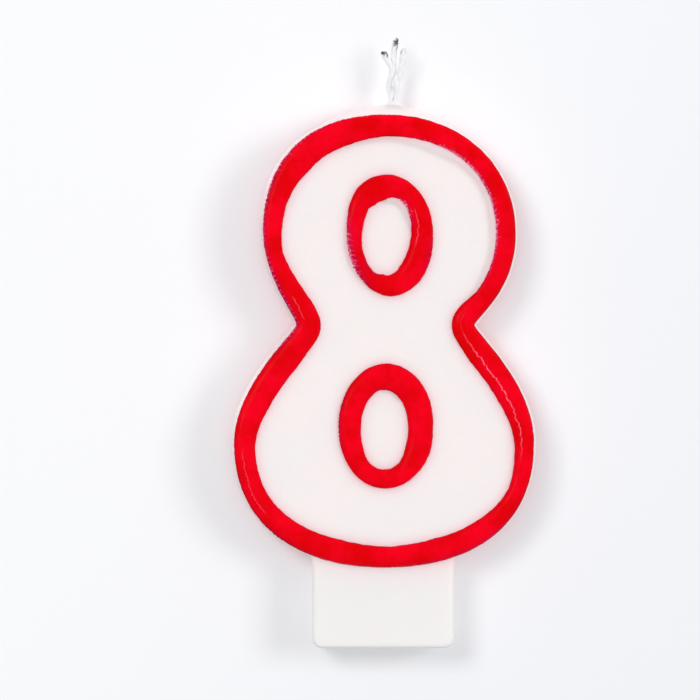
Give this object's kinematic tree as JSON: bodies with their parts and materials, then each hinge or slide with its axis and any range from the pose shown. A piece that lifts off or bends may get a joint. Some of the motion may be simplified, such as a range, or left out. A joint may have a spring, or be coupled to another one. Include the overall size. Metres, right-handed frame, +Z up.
{
  "type": "number birthday candle",
  "caption": "White wax cake candle in the shape of a figure, with raised edges coated in red wax, a flat foot to push into the icing and a plaited cotton wick.",
  "frame": {"origin": "centre of the foot's flat underside", "axes": "+Z up along the candle's height, -Y out of the front face, +X to the right as seen from the front"},
  "size_m": [0.0395, 0.0102, 0.0788],
  "materials": {
    "white_wax": "warm white candle wax, softly glossy",
    "red_wax": "bright red candle wax, glossy, uneven",
    "waxed_cotton": "white plaited cotton soaked in wax, darkened at the tips"
  },
  "bodies": {
    "root": {"wax_body": "white_wax", "front_outline_coat": "red_wax", "front_upper_ring_coat": "red_wax", "front_lower_ring_coat": "red_wax", "back_outline_coat": "red_wax", "back_upper_ring_coat": "red_wax", "back_lower_ring_coat": "red_wax", "wick_strand_left": "waxed_cotton", "wick_strand_middle": "waxed_cotton", "wick_strand_right": "waxed_cotton"}
  },
  "joints": []
}
